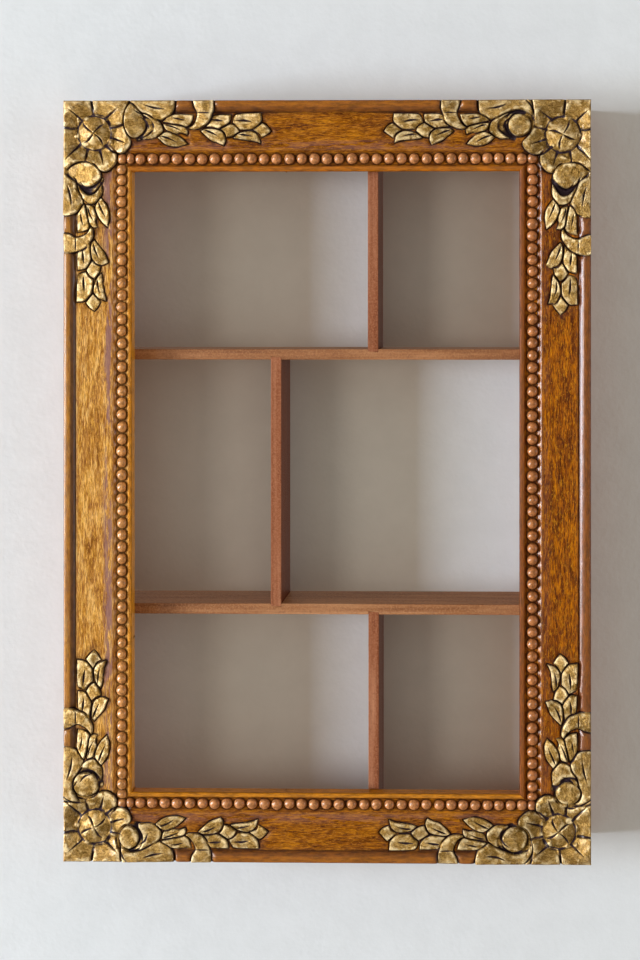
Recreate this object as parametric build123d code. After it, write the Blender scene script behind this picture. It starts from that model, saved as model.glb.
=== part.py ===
from build123d import *
import os
from itertools import accumulate
from math import atan, ceil, cos, exp, radians, sin, tan

# Trinket wall shelf: a carved frame on the front of an open box with two shelves and three dividers.
# It is drawn as seen from the front, x to the right, y up and z towards the viewer, with the middle of the
# outline at x = y = 0 and the back at z = 0. At the end it is turned so that its back faces +Y and its top
# faces +Z, with the origin midway between the two hanging keyholes.

# Overall size
width = 400.0
height = 577.5
box_depth = 60.0
frame_thickness = 20.0
front = box_depth + frame_thickness

# Frame section, across each member from its outer edge inwards
member_width = 54.0
rim_crest = 3.4
rim_width = 8.7
groove_width = 1.1
channel_slope = 2.3  # width of the sloping side between the field and the channel
channel_width = 10.5  # at its floor
lip_shoulder = 1.8
lip_width = 3.9
bead_row = 44.2  # middle of the beads

# Frame section, depths below the foremost plane
rim_crest_drop = 0.3
rim_outer_drop = 1.3
rim_inner_drop = 3.1
field_drop = 2.2
groove_drop = 3.8
channel_drop = 5.0
lip_crown_drop = 2.6
lip_shoulder_drop = 2.9
lip_edge_drop = 4.0

# Beads in the channel
bead_width = 7.8
bead_height = 4.2
bead_sides = 7
bead_draft = 30.0
rail_bead_pitch = 9.2
stile_bead_pitch = 8.9
bead_crowding = 0.15  # share by which the beads stand closer at the corners than further in
crowded_beads = 4

# Corner carving
ground_drop = 3.4
carving_root = 1.2  # how far the carved forms reach down past the ground
carving_draft = 16.0
chip_width = 2.4
chip_depth = 2.8
facet_turn = 45.0  # most that one flat of a carved curve turns, in degrees
disc_sides = 12
overrun = 1.0  # how far shapes run past an edge that trims them

# Box behind the frame
side_thickness = 18.0
board_thickness = 18.0
shelf_thickness = 8.0
divider_thickness = 8.0
shelf_housing = 6.0  # depth of the housings in the sides
divider_housing = 2.0  # depth of the housings in shelves and boards
housing_clearance = 0.1
lower_shelf_height = 189.0  # from the base to the middle of the shelf
upper_shelf_height = 384.4
upper_divider_place = 234.0  # from the left side of the box to the middle of the divider
middle_divider_place = 159.5
lower_divider_place = 234.5

# Keyhole hangers
hanger_drop = 52.0  # from the top of the box down to the round part of the keyhole
plate_length = 40.0
plate_width = 14.0
plate_thickness = 1.5
plate_corner = 3.0  # clipped off each corner of the plate
plate_clearance = 0.1
keyhole_radius = 4.0
keyhole_slot_width = 4.2
keyhole_travel = 10.0
keyhole_pocket_depth = 9.0
pocket_margin = 1.2  # room round the keyhole inside the wood
screw_spacing = 30.0
screw_length = 14.0
screw_radius = 1.4
screw_head_angle = 45.0  # slope of the countersunk head
screw_head_height = 1.4
screw_clearance = 0.1
screw_sides = 8  # the small screws are drawn with flat sides

# Pins, square and headless, sunk a little below the surface
pin_width = 1.2
pin_sunk = 0.4
pin_clearance = 0.04
short_pin = 35.0
long_pin = 45.0
pin_rows = (0.25, 0.75)  # places along the depth of the box
mitre_pin_places = (12.0, 26.0)  # from the outer edge of the frame
mitre_pin_height = 8.0  # above the back of the frame
rail_pin_places = (-60.0, 60.0)
stile_pin_places = (-120.0, 0.0, 120.0)

# Outlines of the carved forms at the left end of the top rail. A corner is (distance from the side edge,
# distance from the top edge, bulge of the side that follows it), going round clockwise as seen from the
# front. The petals continue on the stile, mirrored across the mitre.
flower_centre = 24.0
flower_radius = 12.6
disc_cuts = (40.0, 140.0, 225.0, 305.0)
disc_cut_reach = (2.0, 11.0)
forms = {
    "inner_petal": ((36.3, 20.0, 0), (46.4, 18.0, 0), (53.5, 30.2, 1.2), (48.0, 38.4, 1.0), (40.4, 40.4, 0),
                    (34.2, 34.2, 0)),
    "outer_petal": ((21.8, 9.8, 0), (20.6, -1.0, 0), (53.5, -1.0, 0), (46.4, 17.6, 0), (36.1, 19.4, 0)),
    "corner_petal": ((9.8, 21.2, 0), (-1.0, 20.0, 0), (-1.0, -1.0, 0), (20.0, -1.0, 0), (21.2, 9.8, 0)),
    "ball": ((54.7, 2.2, 2.2), (64.5, 17.5, 2.6), (56.5, 28.5, 2.8), (48.0, 17.0, 1.8)),
    "crescent": ((62.5, 8.6, 1.5), (76.6, 19.0, 2.6), (69.5, 29.4, 1.0), (60.0, 29.2, 0)),
    "lobe": ((55.5, -1.0, 0), (85.6, -1.0, 0.6), (84.4, 8.8, 1.8), (75.5, 15.0, 0.8), (60.6, 8.6, 1.0)),
    "upper_leaf": ((77.6, 15.5, 0.8), (87.0, 10.2, 0), (99.4, 10.5, 1.4), (92.2, 19.0, 0.6)),
    "middle_leaf": ((77.4, 17.2, 0.3), (92.2, 19.6, 1.0), (94.6, 25.8, 0.8), (79.0, 23.2, 0.4)),
    "lower_leaf": ((73.0, 28.4, 0.8), (80.2, 23.8, 1.2), (94.7, 33.2, 2.4), (79.0, 33.2, 0.8)),
    "band": ((98.2, -1.0, 0), (113.8, -1.0, 0), (113.4, 9.6, 0), (101.7, 9.6, 0)),
    "band_foot": ((101.9, 8.4, 0), (113.5, 8.4, 3.2), (97.7, 22.4, 0), (94.9, 20.9, 0)),
    "first_tulip_top": ((107.0, 20.0, 0.6), (114.2, 10.8, 0), (127.4, 10.8, 1.8), (119.0, 21.4, 0.3)),
    "first_tulip_foot": ((104.4, 22.7, 0.3), (109.4, 20.8, 0.5), (118.8, 22.0, 1.5), (122.4, 33.8, 0.8),
                         (111.9, 29.8, 0.4)),
    "first_bud": ((119.8, 21.6, 0.3), (127.6, 17.1, 0.8), (133.6, 23.4, 0.4), (123.8, 28.3, 0)),
    "second_tulip_top": ((128.3, 17.0, 0.9), (132.8, 10.4, 0), (150.7, 10.1, 2.0), (142.6, 22.3, 0),
                         (134.3, 22.5, 0)),
    "second_tulip_foot": ((129.2, 28.3, 0.4), (134.4, 23.9, 0), (143.2, 22.9, 1.6), (150.0, 32.6, 0.8)),
    "second_bud": ((144.0, 22.5, 0.2), (151.4, 17.1, 0.4), (157.8, 23.1, 0.4), (150.6, 28.3, 0)),
}
form_drops = {
    "inner_petal": 0.7, "outer_petal": 0.5, "corner_petal": 0.7, "ball": 0.0, "crescent": 0.8, "lobe": 0.3,
    "upper_leaf": 1.0, "middle_leaf": 0.8, "lower_leaf": 1.1, "band": 0.4, "band_foot": 0.4,
    "first_tulip_top": 0.9, "first_tulip_foot": 1.0, "first_bud": 1.2,
    "second_tulip_top": 1.0, "second_tulip_foot": 1.1, "second_bud": 1.3,
}
# Chips taken out of the forms with a chisel, each from one point to another
chips = (
    (37.0, 28.4, 48.5, 31.4), (31.0, 13.0, 43.4, 4.4), (62.0, 3.0, 80.0, 6.2), (82.4, 13.6, 94.6, 14.6),
    (78.4, 19.0, 91.6, 22.6), (75.6, 27.0, 88.6, 31.4), (110.8, 14.4, 123.0, 15.6),
    (106.8, 22.6, 119.0, 28.0), (130.4, 15.4, 144.0, 16.4), (132.2, 25.8, 145.0, 27.6),
    (65.8, 9.0, 68.0, 28.0),
)
# Ground cut away round the carving. The rim stands again between the lobe and the band, and beyond the band.
ground = (
    (-1.0, -1.0, 0), (86.4, -1.0, 0), (86.4, 9.2, 0), (97.8, 9.2, 0), (97.8, -1.0, 0), (114.2, -1.0, 0),
    (114.2, 9.2, 0), (152.4, 9.2, 0), (153.4, 16.0, 0), (160.0, 23.0, 0), (153.0, 29.6, 0),
    (152.4, 35.2, 1.0), (131.0, 31.0, 0), (124.6, 36.0, 1.0), (102.0, 25.6, 0), (97.4, 35.0, 2.5),
    (72.0, 31.6, 0.6), (56.0, 31.6, 0.6), (49.0, 41.0, 0), (42.0, 42.0, 0), (-1.0, 42.0, 0),
)


def carved_face(corners):
    """Flat face inside a clockwise outline, whose bulging sides are cut as short flats along an arc."""
    points = []
    for (u1, v1, bulge), (u2, v2, _) in zip(corners, corners[1:] + corners[:1]):
        start, end = Vector(u1, -v1), Vector(u2, -v2)
        points.append(start)
        if bulge:
            half = (end - start) * 0.5
            out = Vector(-half.Y, half.X).normalized()
            turn = 2 * atan(bulge / half.length)  # half the turn of the arc
            radius = half.length / sin(turn)
            centre = start + half - out * (radius * cos(turn))
            flats = ceil(abs(2 * turn) / radians(facet_turn))
            for i in range(1, flats):
                angle = turn * (2 * i / flats - 1)
                along = half.normalized() * sin(angle)
                points.append(centre + (out * cos(angle) + along) * radius)
    return make_face(Polyline(*reversed(points), close=True))


def chip(u1, v1, u2, v2):
    """Four-sided chip, pointed at both ends and deepest in the middle, cut down from z = 0."""
    start, end = Vector(u1, -v1), Vector(u2, -v2)
    middle = (start + end) * 0.5
    along = (end - start).normalized()
    across = Vector(-along.Y, along.X) * (chip_width / 2)
    rim = [start, middle - across, end, middle + across]
    deepest = middle - Vector(0, 0, chip_depth)
    faces = [Face(Wire.make_polygon([a, b, deepest])) for a, b in zip(rim, rim[1:] + rim[:1])]
    return Solid(Shell([Face(Wire.make_polygon(rim))] + faces))


def carving():
    """Carved forms of one arm, with the corner of the frame at x = y = 0 and the foremost plane at z = 0."""
    root = ground_drop + carving_root
    solids = []
    for name, corners in forms.items():
        rise = root - form_drops[name]
        solids.append(Pos(0, 0, -root) * extrude(carved_face(corners), rise, taper=carving_draft))
    disc = Pos(flower_centre, -flower_centre) * RegularPolygon(flower_radius, disc_sides)
    solids.append(Pos(0, 0, -root) * extrude(disc, root, taper=carving_draft))
    cuts = [chip(*ends) for ends in chips]
    near, far = disc_cut_reach
    for angle in disc_cuts:
        u, v = cos(radians(angle)), sin(radians(angle))
        start = (flower_centre + near * u, flower_centre + near * v)
        cuts.append(chip(*start, flower_centre + far * u, flower_centre + far * v))
    return solids, cuts


def bead_places(length, pitch):
    """Distances of the beads from the middle of a member. The rows meet in a bead on each mitre."""
    span = length - 2 * bead_row
    gaps = round(span / pitch)
    steps = [1 - bead_crowding * exp(-min(i, gaps - 1 - i) / crowded_beads) for i in range(gaps)]
    return [span * (place / sum(steps) - 0.5) for place in accumulate(steps, initial=0.0)]


def section():
    """Section of a frame member: inward distance to the right, height from the back of the box upwards."""
    groove = rim_width + groove_width
    lip = member_width - lip_width
    channel = lip - channel_width
    rim_outer, rim_inner = front - rim_outer_drop, front - rim_inner_drop
    field, floor = front - field_drop, front - channel_drop
    lip_crown, lip_edge = front - lip_crown_drop, front - lip_edge_drop
    rim = ThreePointArc((0, rim_outer), (rim_crest, front - rim_crest_drop), (rim_width, rim_inner))
    middle = Polyline(
        (rim_width, rim_inner), (rim_width + groove_width / 2, front - groove_drop), (groove, field),
        (channel - channel_slope, field), (channel, floor), (lip, floor), (lip, lip_crown),
    )
    shoulder = (lip + lip_shoulder, front - lip_shoulder_drop)
    lip_top = ThreePointArc((lip, lip_crown), shoulder, (member_width, lip_edge))
    back = Polyline((member_width, lip_edge), (member_width, box_depth), (0, box_depth), (0, rim_outer))
    return make_face([rim, middle, lip_top, back])


def mitred(length, outer):
    """Block that trims a member along its outer edge and its two mitres."""
    half = length / 2
    inner = outer - member_width
    corners = [(-half, outer), (half, outer), (half - member_width, inner), (member_width - half, inner)]
    block = extrude(make_face(Polyline(*corners, close=True)), frame_thickness + overrun)
    return Pos(0, 0, box_depth) * block


def member(length, outer, bead_pitch):
    """Frame member along x, with its outer edge at y = outer."""
    across = Plane(origin=(-length / 2, outer, 0), x_dir=(0, -1, 0), z_dir=(-1, 0, 0))
    body = extrude(across * section(), -length)
    corner = Pos(-length / 2, outer, front)
    solids, cuts = carving()
    pocket = extrude(carved_face(ground), -ground_drop) + extrude(carved_face(ground), overrun)
    pockets = [corner * pocket, mirror(corner * pocket, Plane.YZ)]
    body -= pockets
    raised = []
    for solid in solids:
        raised += [corner * solid, mirror(corner * solid, Plane.YZ)]
    bead = extrude(RegularPolygon(bead_width / 2, bead_sides), bead_height, taper=bead_draft)
    for place in bead_places(length, bead_pitch):
        raised.append(Pos(place, outer - bead_row, front - channel_drop) * bead)
    body += raised
    removed = []
    for cut in cuts:
        removed += [corner * cut, mirror(corner * cut, Plane.YZ)]
    body -= removed
    return body & mitred(length, outer)


def block(x1, x2, y1, y2, z1, z2):
    """Board between the given limits."""
    size = (abs(x2 - x1), abs(y2 - y1), abs(z2 - z1))
    return Pos((x1 + x2) / 2, (y1 + y2) / 2, (z1 + z2) / 2) * Box(*size)


def pin(length, grow=0.0, above=0.0):
    """Pin driven along -z, with its end at z = 0. Its hole is the same shape, grown and open above."""
    side = pin_width + 2 * grow
    low, high = -length - grow, above
    return Pos(0, 0, (low + high) / 2) * Box(side, side, high - low)


def keyhole(radius, slot_width, travel):
    """Round entry at the origin with a slot going up from it."""
    slot = Pos(0, travel / 2) * Rectangle(slot_width, travel) + Pos(0, travel) * Circle(slot_width / 2)
    return Circle(radius) + slot


def screw(grow=0.0):
    """Countersunk screw driven along +z, with its head flush at z = 0. Its hole is the same shape, grown."""
    radius = screw_radius + grow
    head_radius = radius + screw_head_height * tan(radians(screw_head_angle))
    head = extrude(RegularPolygon(head_radius, screw_sides), screw_head_height, taper=screw_head_angle)
    return head + extrude(RegularPolygon(radius, screw_sides), screw_length + grow)


def hanger_plate():
    """Keyhole plate, with the entry of the keyhole at x = y = 0 and its outer face at z = 0, facing back."""
    plate = Pos(0, keyhole_travel / 2) * Rectangle(plate_width, plate_length)
    plate = chamfer(plate.vertices(), plate_corner)
    plate = extrude(plate - keyhole(keyhole_radius, keyhole_slot_width, keyhole_travel), plate_thickness)
    return plate - [Pos(0, place) * screw(screw_clearance) for place in screw_places]


def hanger_recess():
    """Recess and pocket in the wood behind a hanger plate, and the holes for its screws."""
    middle = Pos(0, keyhole_travel / 2)
    room = 2 * (keyhole_radius + pocket_margin)
    plate = middle * Rectangle(plate_width + 2 * plate_clearance, plate_length + 2 * plate_clearance)
    plate = extrude(chamfer(plate.vertices(), plate_corner), plate_thickness)
    pocket = extrude(middle * Rectangle(room, keyhole_travel + room), plate_thickness + keyhole_pocket_depth)
    return [plate + pocket] + [Pos(0, place) * screw(screw_clearance) for place in screw_places]


# Places worked out from the sizes
half_width, half_height = width / 2, height / 2
inner_x = half_width - side_thickness
inner_y = half_height - board_thickness
lower_shelf_y = lower_shelf_height - half_height
upper_shelf_y = upper_shelf_height - half_height
divider_places = {
    "upper_divider": (upper_divider_place - half_width, upper_shelf_y + shelf_thickness / 2, inner_y),
    "middle_divider": (middle_divider_place - half_width, lower_shelf_y + shelf_thickness / 2,
                       upper_shelf_y - shelf_thickness / 2),
    "lower_divider": (lower_divider_place - half_width, -inner_y, lower_shelf_y - shelf_thickness / 2),
}
hanger_x = half_width - side_thickness / 2
hanger_y = half_height - hanger_drop
screw_places = [(keyhole_travel + way * screw_spacing) / 2 for way in (-1, 1)]

# Carved frame
top_rail = member(width, half_height, rail_bead_pitch)
stile = member(height, half_width, stile_bead_pitch)
nodes = {
    "top_rail": top_rail,
    "bottom_rail": Rot(0, 0, 180) * top_rail,
    "left_stile": Rot(0, 0, 90) * stile,
    "right_stile": Rot(0, 0, -90) * stile,
}

# Box, shelves and dividers
nodes["left_side"] = block(-half_width, -inner_x, -half_height, half_height, 0, box_depth)
nodes["right_side"] = block(inner_x, half_width, -half_height, half_height, 0, box_depth)
nodes["top_board"] = block(-inner_x, inner_x, inner_y, half_height, 0, box_depth)
nodes["bottom_board"] = block(-inner_x, inner_x, -half_height, -inner_y, 0, box_depth)
housing_gap = housing_clearance / 2
for name, y in (("lower_shelf", lower_shelf_y), ("upper_shelf", upper_shelf_y)):
    low, high = y - shelf_thickness / 2, y + shelf_thickness / 2
    end = inner_x + shelf_housing
    nodes[name] = block(-end, end, low, high, 0, box_depth)
    housing = block(-end - housing_gap, end + housing_gap, low - housing_gap, high + housing_gap,
                    -overrun, box_depth + overrun)
    nodes["left_side"] -= housing
    nodes["right_side"] -= housing
for name, (x, low, high) in divider_places.items():
    left, right = x - divider_thickness / 2, x + divider_thickness / 2
    bottom, top = low - divider_housing, high + divider_housing
    nodes[name] = block(left, right, bottom, top, 0, box_depth)
    housing = block(left - housing_gap, right + housing_gap, bottom - housing_gap, top + housing_gap,
                    -overrun, box_depth + overrun)
    for board in ("top_board", "bottom_board", "lower_shelf", "upper_shelf"):
        nodes[board] -= housing

# Keyhole hangers
for side, way in (("left", -1), ("right", 1)):
    place = Pos(way * hanger_x, hanger_y, 0)
    nodes[f"{side}_side"] -= [place * cut for cut in hanger_recess()]
    nodes[f"{side}_hanger_plate"] = place * hanger_plate()
nodes["hanger_screws"] = [
    Pos(way * hanger_x, hanger_y + place, 0) * screw() for way in (-1, 1) for place in screw_places
]

# Pins: place and direction, length, and the pieces that each goes through
sides = ((-1, Rot(0, -90, 0), "left"), (1, Rot(0, 90, 0), "right"))
groups = {"box_pins": [], "shelf_pins": [], "frame_pins": [], "mitre_pins": []}
for way, turn, side in sides:
    start = way * (half_width - pin_sunk)
    for row in pin_rows:
        for end, board in ((-1, "bottom_board"), (1, "top_board")):
            place = Pos(start, end * (half_height - board_thickness / 2), row * box_depth) * turn
            groups["box_pins"].append((place, long_pin, (f"{side}_side", board)))
        for y, board in ((lower_shelf_y, "lower_shelf"), (upper_shelf_y, "upper_shelf")):
            place = Pos(start, y, row * box_depth) * turn
            groups["shelf_pins"].append((place, long_pin, (f"{side}_side", board)))
    for place in mitre_pin_places:
        for end, rail in ((-1, "bottom_rail"), (1, "top_rail")):
            spot = Pos(start, end * (half_height - place), box_depth + mitre_pin_height) * turn
            groups["mitre_pins"].append((spot, long_pin, (f"{side}_stile", rail)))
groove_place = rim_width + groove_width / 2
groove_floor = front - groove_drop - pin_sunk
for way, rail, board in ((1, "top_rail", "top_board"), (-1, "bottom_rail", "bottom_board")):
    for x in rail_pin_places:
        place = Pos(x, way * (half_height - groove_place), groove_floor)
        groups["frame_pins"].append((place, short_pin, (rail, board)))
for way, turn, side in sides:
    for y in stile_pin_places:
        place = Pos(way * (half_width - groove_place), y, groove_floor)
        groups["frame_pins"].append((place, short_pin, (f"{side}_stile", f"{side}_side")))
for group, pins in groups.items():
    nodes[group] = [place * pin(length) for place, length, _ in pins]
    for place, length, pieces in pins:
        for piece in pieces:
            nodes[piece] -= place * pin(length, pin_clearance, pin_sunk + overrun)

# Turn to the final axes and write each piece
os.makedirs("parts", exist_ok=True)
final = Pos(0, 0, -hanger_y) * Rot(90, 0, 0)
for name, shape in nodes.items():
    pieces = shape if isinstance(shape, list) else [shape]
    solids = [final * solid for piece in pieces for solid in piece.solids()]
    export_step(Compound(children=solids), f"parts/{name}.step")
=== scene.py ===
import math

import bmesh
import bpy
import numpy as np
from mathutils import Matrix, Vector


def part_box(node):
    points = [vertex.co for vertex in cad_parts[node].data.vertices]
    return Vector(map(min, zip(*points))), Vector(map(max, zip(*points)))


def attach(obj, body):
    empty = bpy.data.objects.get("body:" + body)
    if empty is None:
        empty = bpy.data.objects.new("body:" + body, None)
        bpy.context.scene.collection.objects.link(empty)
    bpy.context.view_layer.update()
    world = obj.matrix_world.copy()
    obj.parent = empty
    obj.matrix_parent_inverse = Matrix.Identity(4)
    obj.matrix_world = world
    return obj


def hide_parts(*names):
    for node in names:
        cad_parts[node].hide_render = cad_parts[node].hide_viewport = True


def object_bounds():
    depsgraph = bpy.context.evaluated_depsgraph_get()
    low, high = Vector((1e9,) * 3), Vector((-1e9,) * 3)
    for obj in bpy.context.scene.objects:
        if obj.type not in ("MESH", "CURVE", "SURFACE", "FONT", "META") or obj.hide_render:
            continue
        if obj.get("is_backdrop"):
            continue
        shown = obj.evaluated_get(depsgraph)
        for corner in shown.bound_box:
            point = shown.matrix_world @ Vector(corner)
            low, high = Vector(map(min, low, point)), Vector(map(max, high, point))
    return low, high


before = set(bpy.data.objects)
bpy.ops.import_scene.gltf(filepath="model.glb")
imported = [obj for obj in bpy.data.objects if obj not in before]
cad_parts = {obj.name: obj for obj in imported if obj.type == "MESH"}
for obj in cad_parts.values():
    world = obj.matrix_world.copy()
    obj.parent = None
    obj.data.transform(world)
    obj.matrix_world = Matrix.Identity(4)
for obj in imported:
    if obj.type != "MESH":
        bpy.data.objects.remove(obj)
cad_low, cad_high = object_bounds()

# The carved frame is in millimetres until a mesh is made
MM = 0.001

# Sizes read from the frame. x goes right and y goes up from the middle of its outline.
rail_low, rail_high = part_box("top_rail")
stile_low, stile_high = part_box("left_stile")
HALF_WIDTH = (rail_high.x - rail_low.x) / 2 / MM
HALF_HEIGHT = (stile_high.z - stile_low.z) / 2 / MM
MEMBER = (rail_high.z - rail_low.z) / MM
FRONT = -rail_low.y / MM
FRAME_BACK = -rail_high.y / MM
CENTRE_Z = (stile_high.z + stile_low.z) / 2

# Moulding across a member, from its outer edge inwards
RIM_CREST = 3.4
RIM_SIDE = 5.2  # where the rim's inner side starts
RIM = 8.7
GROOVE_LINE = 9.2
GROOVE_WIDTH = 0.9
GROOVE_END = 9.9
FIELD_START = 10
FIELD_WIDTH = 27
WALL_START = 37.4  # where the field breaks off into the channel
CHANNEL_START = 40.1
BEAD_ROW = 44.2
LIP_START = 50.0
LIP_WALL = 1.5  # of the wall up to the lip
LIP_CREST = 0.3  # share of the lip's width where it starts to fall
LIP_ROUND = 0.12  # rounded share of it

# Depths below the foremost plane
RIM_DROP = 0.4
RIM_OUTER_FALL = 0.9
RIM_INNER_FALL = 2.7
RIM_WORN_FALL = 1.7
FIELD_DROP = 2.2
FIELD_SAG = 0.25
CHANNEL_DROP = 4.5
LIP_DROP = 2.5
LIP_FALL = 0.9
LIP_ROUND_FALL = 0.5
CORNER_GROUND = 3.3
ROOT = FRONT - 6.2  # height of the foot of the carved forms
DISC_DROP = 4.7  # edge of the flower's disc

RIM_BREAK = (85.6, 87.2)  # where the carving's ground rises to the rim
OUTER_EDGE = (0.7, 0.9)  # fall and width of the member's rounded edges
INNER_EDGE = (0.5, 0.7)
WORN_LENGTH = 38.0  # of the top rail's groove
WEAR = ((5, 0.06, 38.0), (6, 0.012, 7.0))  # (seed, height, length) of waves in the whole front

# Beads
BEAD_RADIUS = 4.05
BEAD_HEIGHT = 4.2
BEAD_ROUNDNESS = 0.9  # less is fuller
BEAD_EDGE = (0.92, 1.04)  # shares of the radius where its stain ends
RAIL_BEAD_PITCH = 9.2
STILE_BEAD_PITCH = 8.9
BEAD_CROWDING = 0.15  # share by which they stand closer at the corners
CROWDED_BEADS = 4
BEAD_JITTER, BEAD_SPREAD, BEAD_OFFSET = 0.16, 0.1, 0.14  # along the row, of the radius and across

# Carved forms
FORM_GROWTH = 0.2  # beyond their outlines
FORM_WEAR = ((8, 0.07, 9.0), (9, 0.02, 2.6))
EDGE_ROUND = 0.75  # rounded share of a form's edge width
DOME_REACH = 3.5  # from the edge inwards
LEAN = 0.08  # usual slope of a form's top
HAND = (0.22, 0.18)  # unevenness of the outlines along and across an arm
CUP = 4.6  # fall of the petals towards the disc
CUP_REACH = 13
DISC_DOME = 4.1
DISC_EDGE = 1.8
DISC_FULLNESS = 0.8
RING = 0.8  # groove around the disc
RING_DEPTH = 1.0  # below the foot of the forms
MOAT = 1.7  # groove that a form of an arm cuts round itself into those below it
MOAT_WIDTH = 0.75
SINKS = ((1.3, 0.5), (0.8, 2.3))  # depth and reach of the hollows in the ground beside the forms
STROKE_FULLNESS = 0.6
LEAST_STROKE = 0.05
BURIED = -1e3  # height where a form isn't

# Where stain, gilding, antique dark, dirt, painted shade and painted highlight begin and end
RING_DARK = 1.1
CUT_DARK = 0.85
STROKE_DARK = (0.08, 0.45)  # shares of its depth between which it darkens
EDGE_LIGHT = 0.7  # share of the painted shade kept off the gilding's rounded edges
FINE_RECESS = (2, 0.08, 0.7)  # cells of the blur, least depth, and the span to full dark
BROAD_RECESS = (8, 0.3, 0.8)
# convex edges, which get painted highlight and wear
RIDGE = (3, 0, 0.35)
DIRT_AND_SHADE_REACH = 3.0  # of the dirt and painted shade beside the forms
BAND_GLOSS = 0.65  # of the rim and the channel's wall
BAND_BLEND = 0.6  # half the width in which the rim's colours meet
WALL_MASKS = ("lip", "rim")  # that hold for the whole depth of the walls

# The moulding's inner edge is nearer to the outer edge at the left and at the bottom
LEFT_SHIFT = 2.4
BOTTOM_SHIFT = 1.6
SHIFT_START = 46.0  # from the outer edge
SHIFT_FADE = 60.0  # length in which the shift fades out
INNER_SLOPE = 1.5  # slope of the inner faces, from front to back
SHOULDER = 1.6  # how far the front's colours reach down the walls

# Grid of the carved meshes
END = 168.0  # length of a member's finely divided end
FINE = 0.42
COARSE = 0.55
CURVE_STEPS = 5
WAVE_COUNT = 24
WAVE_SPREAD = (0.6, 1.8)  # of their lengths
CARVING_SEED, LEAN_SEED = 11, 40

# Flower that fills a corner: (drop of the form's top below the front, width of its rounded edge, height of
# its dome, outline). The outline holds distances from the side and the top edge, and is smooth but for the
# points with a third value.
FLOWER = {
    "petal_a": (0.3, 1.3, 0.4, [(36.4, 20.4, 1), (46, 18.7, 1), (48.4, 24.8), (53.4, 30), (52.4, 34.8),
        (48.2, 38.4), (44.2, 39.9), (40.7, 39.3, 1), (35.2, 33.4, 1), (37.1, 29), (37.6, 24.4)]),
    "petal_b": (0.4, 1.3, 0.4, [(34.1, 34, 1), (39.9, 40.4, 1), (40.4, 44.4), (38.6, 49.4), (34.2, 53.2),
        (30.2, 53.9), (26.5, 52.5, 1), (22.8, 49.4), (17.2, 46, 1), (18.6, 36.7, 1), (23.5, 38.3),
        (29.2, 37.2)]),
    "petal_c": (0.4, 1.2, 0.4, [(17.8, 36.5, 1), (16.2, 46, 1), (12.6, 46.7), (6.2, 49.4), (1.5, 53.8),
        (-2.5, 58, 1), (-2.5, 20.6, 1), (9.9, 20.8, 1), (10, 26.5), (12.9, 32.6)]),
    "petal_d": (0.5, 1.2, 0.3, [(9.8, 20, 1), (-2.5, 19.8, 1), (-2.5, -2.5, 1), (20.4, -2.5, 1),
        (22.3, 9.9, 1), (16.2, 12.2), (11.6, 16.2)]),
    "petal_e": (0.3, 1.2, 0.4, [(23.3, 9.9, 1), (21.3, -2.5, 1), (54, -2.5, 1), (50, 3.6), (46.7, 8.8),
        (45.6, 14.4), (45.9, 17.6, 1), (36.2, 19.4, 1), (33.4, 14.2), (28.9, 11)]),
}
DISC = (22.9, 24.6)  # its middle
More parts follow.
